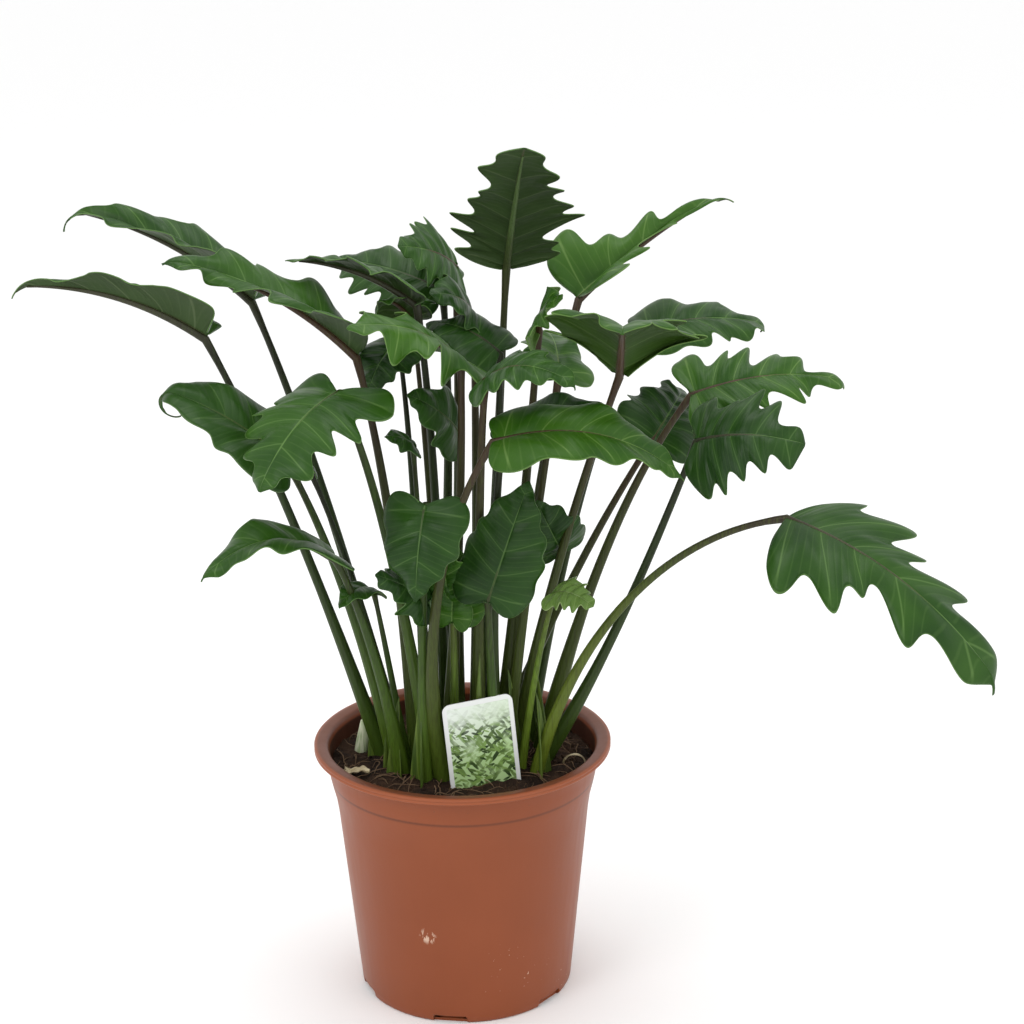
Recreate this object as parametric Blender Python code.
"""Potted philodendron with lobed leaves, in a 21 cm nursery pot.

The plant stands at the origin on its pot. +Z is up and -Y is the front, where the care
label is. Lengths are in metres; the leaf table is in millimetres.
"""

import math

import bmesh
import bpy
from mathutils import Vector

MM = 0.001
GAP = 0.0004                    # free space left between pieces that rest on each other

# ---- nursery pot -------------------------------------------------------------------------
POT_HEIGHT = 0.185
RIM_RADIUS = 0.105              # outside of the flat lip
LIP_HEIGHT = 0.0045
LIP_RIDGE = 0.0008
MOUTH_RADIUS = 0.0955           # inside of the lip
COLLAR_RADIUS = 0.0950          # stacking collar under the lip
COLLAR_BOTTOM = 0.158
STEP_BOTTOM = 0.149
WALL_TOP_RADIUS = 0.0905
BASE_RADIUS = 0.0760
WALL = 0.0018
FLOOR = 0.0020
POT_SIDES = 48
NOTCH_HEIGHT = 0.0055           # drain notches at the foot of the wall
NOTCH_WIDTH = 0.024
NOTCH_ANGLES = (262, 322, 22, 82, 142, 202)

# ---- potting mix -------------------------------------------------------------------------
SOIL_EDGE = 0.1655
SOIL_TOP = 0.1665

# ---- care label --------------------------------------------------------------------------
LABEL_WIDTH = 0.0500
LABEL_TALL = 0.1020
LABEL_THICK = 0.0008
LABEL_CORNER = 0.0050
LABEL_POINT = 0.0200            # tapered end that is pushed into the mix
LABEL_BURIED = 0.0360
LABEL_FOOT = (0.0205, -0.0480)
LABEL_TURN = 16.0               # degrees about the upright, right side back
LABEL_TILT = 4.5                # degrees sideways, top to the left
LABEL_LEAN = 3.0                # degrees back

# ---- leaves ------------------------------------------------------------------------------
BLADE_THICK = 0.0013
STALK_SIDES = 6
STALK_RINGS = 7
STALK_FOOT_RADIUS = 0.0040
STALK_END_RADIUS = 0.0020

# Along the midrib: share of the length, share of the half width, forward sweep of the edge
# as a share of the length. Lobe tips and the notches between them take turns.
LOBES = (
    (0.02, 0.78, -0.13),
    (0.07, 1.00, -0.07),
    (0.14, 0.76, -0.01),
    (0.22, 1.00, 0.05),
    (0.31, 0.68, 0.04),
    (0.40, 0.92, 0.10),
    (0.49, 0.58, 0.07),
    (0.58, 0.76, 0.12),
    (0.67, 0.44, 0.08),
    (0.76, 0.50, 0.11),
    (0.87, 0.25, 0.05),
    (0.99, 0.05, 0.01),
)

# name, foot x y, blade base x y z, blade tip x y z, upper side looks to x y z,
# blade width, fold of each half in degrees, arch of the midrib, size of the heel lobes,
# bend of the stalk x y z
LEAVES = (
    ("01", (-55, 10), (-165, -10, 480), (-295, 5, 510), (0.0, 0.45, 1.0), 64, 46, 10, 0.9,
     (6, 0, 0)),
    ("02", (-45, 25), (-140, 55, 490), (-270, 85, 545), (0.1, 0.30, 1.0), 78, 36, 10, 1.0,
     (6, 0, 0)),
    ("03", (-30, 0), (-65, -10, 465), (-195, 15, 525), (0.2, -0.10, 1.0), 78, 34, 22, 0.8,
     (4, 0, 4)),
    ("04", (-45, -10), (-110, -40, 400), (-195, -35, 445), (0.3, -0.45, 1.0), 72, 25, 10, 0.7,
     (5, 5, 8)),
    ("05", (-20, -25), (-75, -60, 455), (-120, -120, 405), (-0.5, -0.75, 0.7), 92, 12, 10, 1.0,
     (6, 5, 8)),
    ("06", (-40, -25), (-80, -60, 340), (-165, -110, 340), (-0.1, -0.25, 1.0), 62, 26, 22, 0.5,
     (4, 4, 7)),
    ("07", (-10, 15), (-25, 20, 495), (-115, 40, 520), (0.0, 0.30, 1.0), 70, 36, 8, 0.8,
     (0, 0, 0)),
    ("08", (-15, 40), (-10, 85, 490), (-90, 120, 505), (-0.2, 0.45, 1.0), 68, 16, 6, 0.8,
     (0, 0, 4)),
    ("09", (-5, 30), (0, 95, 505), (-40, 60, 525), (0.1, 0.50, 1.0), 62, 16, 6, 0.8,
     (0, 0, 0)),
    ("10", (15, 40), (35, 60, 510), (50, -25, 605), (0.0, 1.00, 0.6), 92, 16, 8, 0.4,
     (0, 0, 0)),
    ("11", (30, 30), (85, 75, 485), (200, 150, 545), (0.2, 0.50, 1.0), 98, 48, 10, 0.8,
     (-5, -5, 6)),
    ("12", (35, 10), (110, -10, 450), (105, -100, 500), (0.1, 0.40, 1.0), 106, 26, 16, 0.7,
     (-7, 0, 10)),
    ("13", (45, 30), (130, 85, 460), (220, 105, 455), (0.1, -0.35, 1.0), 64, 18, 6, 0.8,
     (-8, -4, 12)),
    ("14", (55, 15), (160, 15, 430), (270, 35, 430), (0.1, -0.50, 1.0), 76, 18, 12, 0.8,
     (-12, 0, 14)),
    ("15", (50, -5), (160, -30, 410), (230, -55, 415), (0.3, -0.90, 0.8), 82, 14, 10, 0.9,
     (8, 0, -14)),
    ("16", (20, 15), (135, 40, 390), (160, 105, 410), (0.5, -0.50, 1.0), 66, 20, 10, 0.8,
     (-6, 0, 8)),
    ("17", (-10, -35), (25, -80, 425), (150, -75, 395), (0.1, -0.50, 1.0), 72, 26, 24, 0.6,
     (-30, 0, 0)),
    ("18", (20, -5), (30, -35, 410), (100, -35, 435), (-0.1, -0.50, 1.0), 50, 20, 8, 0.8,
     (0, 0, 0)),
    ("19", (-10, -10), (5, -20, 465), (-65, -80, 500), (0.1, -0.30, 1.0), 80, 18, 14, 1.0,
     (0, 0, 0)),
    ("20", (10, -10), (20, -55, 460), (80, -100, 465), (0.1, -0.60, 1.0), 52, 18, 14, 0.8,
     (0, 4, 0)),
    ("21", (10, 10), (30, 20, 460), (-20, 45, 475), (0.1, -0.45, 1.0), 54, 16, 8, 1.0,
     (0, 0, 0)),
    ("22", (30, -10), (70, 5, 445), (60, 80, 460), (0.4, -0.50, 1.0), 50, 22, 8, 0.9,
     (-3, 0, 4)),
    ("23", (25, -30), (20, -50, 305), (50, -40, 385), (-0.1, -1.00, 0.3), 66, 14, 4, 1.0,
     (0, 0, 0)),
    ("24", (-5, -25), (-5, -35, 285), (0, -35, 340), (-0.3, -1.00, 0.3), 26, 26, 2, 1.0,
     (0, 0, 0)),
    ("25", (-25, -40), (-20, -70, 380), (-25, -90, 320), (-0.3, -1.00, 0.3), 56, 12, 4, 0.9,
     (-4, 4, 0)),
    ("26", (40, -20), (65, -45, 310), (90, -65, 305), (0.1, -0.60, 1.0), 36, 18, 4, 0.9,
     (-2, 2, 2)),
    ("27", (50, -25), (220, -45, 360), (350, -125, 265), (0.3, -0.55, 1.1), 88, 18, 26, 0.4,
     (-32, 6, 44)),
)


def material(name, colour, roughness):
    """Plain material with a colour and a roughness."""
    made = bpy.data.materials.new(name)
    made.use_nodes = True
    shader = made.node_tree.nodes["Principled BSDF"]
    shader.inputs["Base Color"].default_value = (*colour, 1.0)
    shader.inputs["Roughness"].default_value = roughness
    shader.inputs["Metallic"].default_value = 0.0
    made.diffuse_color = (*colour, 1.0)
    return made


def solid(name, verts, faces, skin, smooth=True):
    """One closed body from its corners and faces, with every face turned outwards."""
    mesh = bpy.data.meshes.new(name)
    work = bmesh.new()
    corners = [work.verts.new(corner) for corner in verts]
    for face in faces:
        work.faces.new([corners[i] for i in face])
    bmesh.ops.recalc_face_normals(work, faces=work.faces)
    for face in work.faces:
        face.smooth = smooth
    work.to_mesh(mesh)
    work.free()
    mesh.materials.append(skin)
    body = bpy.data.objects.new(name, mesh)
    bpy.context.scene.collection.objects.link(body)
    return body


def turned(name, profile, sides, skin):
    """Closed body of revolution; the profile runs from the axis and back to the axis."""
    verts = []
    faces = []
    rings = []
    for radius, height in profile:
        if radius < 1e-9:
            rings.append([len(verts)] * sides)
            verts.append((0.0, 0.0, height))
            continue
        rings.append(list(range(len(verts), len(verts) + sides)))
        for k in range(sides):
            angle = 2 * math.pi * k / sides
            verts.append((radius * math.cos(angle), radius * math.sin(angle), height))
    for low, high in zip(rings, rings[1:]):
        for k in range(sides):
            after = (k + 1) % sides
            loop = [low[k], low[after], high[after], high[k]]
            faces.append(list(dict.fromkeys(loop)))
    return solid(name, verts, faces, skin)


def cut(body, cutter):
    """Take the cutter's shape away from the body."""
    cutter.hide_render = True
    cutter.display_type = "WIRE"
    step = body.modifiers.new("cut_" + cutter.name, "BOOLEAN")
    step.operation = "DIFFERENCE"
    step.solver = "EXACT"
    step.object = cutter


def block(name, size, skin):
    """Box of a given size about its own centre."""
    half = [s / 2 for s in size]
    verts = [(x, y, z) for z in (-half[2], half[2]) for y in (-half[1], half[1])
             for x in (-half[0], half[0])]
    faces = [(0, 1, 3, 2), (4, 5, 7, 6), (0, 1, 5, 4), (2, 3, 7, 6), (0, 2, 6, 4), (1, 3, 7, 5)]
    return solid(name, verts, faces, skin, smooth=False)


def tube(name, points, radii, sides, skin):
    """Closed round stalk through a row of points, with its own radius at each."""
    verts = []
    faces = []
    side = Vector((1.0, 0.0, 0.0))
    for i, point in enumerate(points):
        before = points[max(i - 1, 0)]
        after = points[min(i + 1, len(points) - 1)]
        along = (after - before).normalized()
        side = (side - along * side.dot(along)).normalized()
        across = along.cross(side)
        if i == 0:
            side = Vector((1.0, 0.0, 0.0))
            across = Vector((0.0, 1.0, 0.0))
        for k in range(sides):
            angle = 2 * math.pi * k / sides
            verts.append(point + radii[i] * (side * math.cos(angle) + across * math.sin(angle)))
    for i in range(len(points) - 1):
        for k in range(sides):
            after = (k + 1) % sides
            faces.append((i * sides + k, i * sides + after, (i + 1) * sides + after,
                          (i + 1) * sides + k))
    faces.append(tuple(range(sides)))
    faces.append(tuple((len(points) - 1) * sides + k for k in range(sides)))
    return solid(name, verts, faces, skin)


def bezier(ends, handles, count):
    """Points along a curve from one end to the other, drawn by two handles."""
    points = []
    for i in range(count):
        t = i / (count - 1)
        u = 1 - t
        points.append(ends[0] * u ** 3 + handles[0] * 3 * u * u * t
                      + handles[1] * 3 * u * t * t + ends[1] * t ** 3)
    return points


def stalk(number, foot, base, tip, face, bend, skin):
    """Leaf stalk from the mix to just under the base of its blade."""
    start = Vector((foot[0], foot[1], 0.0)) * MM
    start.z = SOIL_TOP + GAP
    end = Vector(base) * MM
    along = (Vector(tip) * MM - end).normalized()
    up = Vector(face)
    up = (up - along * up.dot(along)).normalized()
    end = end - up * (STALK_END_RADIUS + BLADE_THICK / 2 + GAP) - along * 0.001
    span = end - start
    shift = Vector(bend) * MM
    points = bezier((start, end), (start + span * 0.33 + shift, start + span * 0.70 + shift),
                    STALK_RINGS)
    radii = []
    for i in range(STALK_RINGS):
        t = i / (STALK_RINGS - 1)
        radii.append(STALK_FOOT_RADIUS * (1 - t) + STALK_END_RADIUS * t)
    return tube("leaf_stalk_" + number, points, radii, STALK_SIDES, skin)


def blade(number, base, tip, face, width, fold, arch, heel, skin):
    """Lobed leaf blade, folded along its midrib and arched from base to tip."""
    start = Vector(base) * MM
    along = Vector(tip) * MM - start
    length = along.length
    along.normalize()
    up = Vector(face)
    up = (up - along * up.dot(along)).normalized()
    right = along.cross(up)
    rise = math.radians(fold)
    half = width * MM / 2
    rows = []
    for share, reach, sweep in LOBES:
        mid = start + along * (share * length) + up * (4 * arch * MM * share * (1 - share))
        row = []
        near = max(0.0, 1.0 - share / 0.22)
        reach *= 1.0 - near * (1.0 - heel)
        sweep = min(sweep, 0.0) * heel + max(sweep, 0.0)
        for side in (-1.0, -0.5, 0.0, 0.5, 1.0):
            out = abs(side) * half * reach
            point = mid + along * (sweep * length * side * side)
            point = point + right * (math.copysign(out, side) * math.cos(rise))
            point = point + up * (out * math.sin(rise) - 0.25 * out * abs(side))
            row.append(point)
        rows.append(row)
    made = bmesh.new()
    grid = [[made.verts.new(point) for point in row] for row in rows]
    for low, high in zip(grid, grid[1:]):
        for k in range(4):
            made.faces.new((low[k], low[k + 1], high[k + 1], high[k]))
    made.normal_update()
    sheet = list(made.verts)
    normals = [vert.normal.copy() for vert in sheet]
    verts = [vert.co + n * BLADE_THICK / 2 for vert, n in zip(sheet, normals)]
    verts += [vert.co - n * BLADE_THICK / 2 for vert, n in zip(sheet, normals)]
    made.free()
    count = len(rows) * 5
    faces = []
    for i in range(len(rows) - 1):
        for k in range(4):
            a = i * 5 + k
            faces.append((a, a + 1, a + 6, a + 5))
            faces.append((a + count, a + 5 + count, a + 6 + count, a + 1 + count))
    rim = [k for k in range(5)]
    rim += [i * 5 + 4 for i in range(1, len(rows))]
    rim += [(len(rows) - 1) * 5 + k for k in (3, 2, 1, 0)]
    rim += [i * 5 for i in range(len(rows) - 2, 0, -1)]
    for a, b in zip(rim, rim[1:] + rim[:1]):
        faces.append((a, b, b + count, a + count))
    return solid("leaf_blade_" + number, verts, faces, skin)


for old in list(bpy.data.objects):
    bpy.data.objects.remove(old, do_unlink=True)

terracotta = material("terracotta_plastic", (0.30, 0.085, 0.035), 0.45)
peat = material("peat", (0.035, 0.018, 0.010), 0.95)
card = material("label_plastic", (0.62, 0.66, 0.58), 0.40)
leaf = material("leaf_green", (0.055, 0.130, 0.040), 0.38)
stalk_skin = material("stalk_green_brown", (0.110, 0.120, 0.040), 0.45)
stub_skin = material("cut_stalk", (0.36, 0.42, 0.24), 0.60)
sheath_skin = material("dry_sheath", (0.42, 0.24, 0.16), 0.70)
scrap_skin = material("dry_leaf", (0.46, 0.38, 0.24), 0.80)

# Pot: one moulded wall with a flat lip, a stacking collar, a stepped wall and a floor.
pot = turned(
    "nursery_pot",
    (
        (0.0, 0.0),
        (BASE_RADIUS - 0.002, 0.0),
        (BASE_RADIUS, 0.002),
        (WALL_TOP_RADIUS, STEP_BOTTOM),
        (COLLAR_RADIUS, COLLAR_BOTTOM),
        (COLLAR_RADIUS + 0.001, POT_HEIGHT - LIP_HEIGHT - 0.002),
        (RIM_RADIUS - 0.001, POT_HEIGHT - LIP_HEIGHT),
        (RIM_RADIUS, POT_HEIGHT - LIP_HEIGHT + LIP_RIDGE),
        (RIM_RADIUS, POT_HEIGHT - LIP_RIDGE),
        (RIM_RADIUS - 0.001, POT_HEIGHT),
        (MOUTH_RADIUS, POT_HEIGHT - LIP_RIDGE),
        (COLLAR_RADIUS - WALL, POT_HEIGHT - LIP_HEIGHT - 0.002),
        (COLLAR_RADIUS - WALL, COLLAR_BOTTOM + 0.001),
        (WALL_TOP_RADIUS - WALL, STEP_BOTTOM + 0.001),
        (BASE_RADIUS - WALL, FLOOR + 0.001),
        (BASE_RADIUS - WALL - 0.001, FLOOR),
        (0.0, FLOOR),
    ),
    POT_SIDES,
    terracotta,
)
for i, angle in enumerate(NOTCH_ANGLES):
    turn = math.radians(angle)
    notch = block("notch_%d" % i, (0.008, NOTCH_WIDTH, 2 * NOTCH_HEIGHT), terracotta)
    notch.location = (0.0765 * math.cos(turn), 0.0765 * math.sin(turn), 0.0)
    notch.rotation_euler = (0.0, 0.0, turn)
    cut(pot, notch)

# Potting mix: fills the pot to about two centimetres under the lip.
step = WALL + GAP
mix = turned(
    "potting_mix",
    (
        (0.0, FLOOR + GAP),
        (BASE_RADIUS - step - 0.0045, FLOOR + GAP),
        (BASE_RADIUS - step - 0.0040, NOTCH_HEIGHT + 0.001),
        (BASE_RADIUS - step + 0.0003, NOTCH_HEIGHT + 0.004),
        (WALL_TOP_RADIUS - step - 0.0002, STEP_BOTTOM),
        (COLLAR_RADIUS - step - 0.0004, COLLAR_BOTTOM + 0.002),
        (COLLAR_RADIUS - step - 0.0004, SOIL_EDGE),
        (0.0640, SOIL_TOP),
        (0.0, SOIL_TOP),
    ),
    POT_SIDES,
    peat,
)

# Care label: a flat tag with round top corners and a tapered end pushed into the mix.
outline = []
for corner_x, turn_from in ((1, 0), (-1, 90)):
    for i in range(4):
        angle = math.radians(turn_from + 30 * i)
        x = corner_x * (LABEL_WIDTH / 2 - LABEL_CORNER) + LABEL_CORNER * math.cos(angle)
        z = LABEL_TALL - LABEL_CORNER + LABEL_CORNER * math.sin(angle)
        outline.append((x, z))
outline.append((-LABEL_WIDTH / 2, LABEL_POINT))
outline.append((-0.004, 0.0))
outline.append((0.004, 0.0))
outline.append((LABEL_WIDTH / 2, LABEL_POINT))
count = len(outline)
verts = [(x, y, z) for y in (-LABEL_THICK / 2, LABEL_THICK / 2) for x, z in outline]
faces = [tuple(range(count)), tuple(range(count, 2 * count))]
faces += [(i, (i + 1) % count, (i + 1) % count + count, i + count) for i in range(count)]
label = solid("care_label", verts, faces, card, smooth=False)
label.rotation_euler = (math.radians(-LABEL_LEAN), math.radians(-LABEL_TILT),
                        math.radians(LABEL_TURN))
label.location = (LABEL_FOOT[0], LABEL_FOOT[1], SOIL_TOP - LABEL_BURIED)
slot = block("label_slot", (LABEL_WIDTH + 4 * GAP, LABEL_THICK + 2 * GAP, LABEL_TALL * 2), peat)
slot.rotation_euler = label.rotation_euler
slot.location = label.location + label.rotation_euler.to_matrix() @ Vector(
    (0.0, 0.0, LABEL_TALL - 2 * GAP))
cut(mix, slot)

# Small dry pieces lying on the mix.
stub = tube(
    "cut_stalk_stub",
    [Vector((-0.074, 0.020, SOIL_TOP + GAP)), Vector((-0.0735, 0.0205, SOIL_TOP + 0.012)),
     Vector((-0.072, 0.021, SOIL_TOP + 0.022))],
    [0.0045, 0.0048, 0.0046],
    8,
    stub_skin,
)
sheath_verts = []
for z, x, half in ((0.0, 0.063, 0.005), (0.016, 0.062, 0.006), (0.030, 0.059, 0.002)):
    for y in (-0.0006, 0.0006):
        sheath_verts.append((x - half, 0.030 + y - 0.2 * z, SOIL_TOP + GAP + z))
        sheath_verts.append((x + half, 0.034 + y - 0.2 * z, SOIL_TOP + GAP + z))
sheath = solid(
    "dry_sheath",
    sheath_verts,
    [(0, 1, 3, 2), (8, 9, 11, 10), (0, 1, 5, 4), (4, 5, 9, 8), (2, 3, 7, 6), (6, 7, 11, 10),
     (0, 2, 6, 4), (4, 6, 10, 8), (1, 3, 7, 5), (5, 7, 11, 9)],
    sheath_skin,
)
scrap = block("dry_leaf_scrap", (0.017, 0.008, 0.0012), scrap_skin)
scrap.location = (-0.074, -0.026, SOIL_TOP + 0.0028)
scrap.rotation_euler = (math.radians(8), math.radians(-6), math.radians(-14))

# Leaves: each has one stalk, which comes up from the mix, and one blade.
for number, foot, base, tip, face, width, fold, arch, heel, bend in LEAVES:
    stalk(number, foot, base, tip, face, bend, stalk_skin)
    blade(number, base, tip, face, width, fold, arch, heel, leaf)
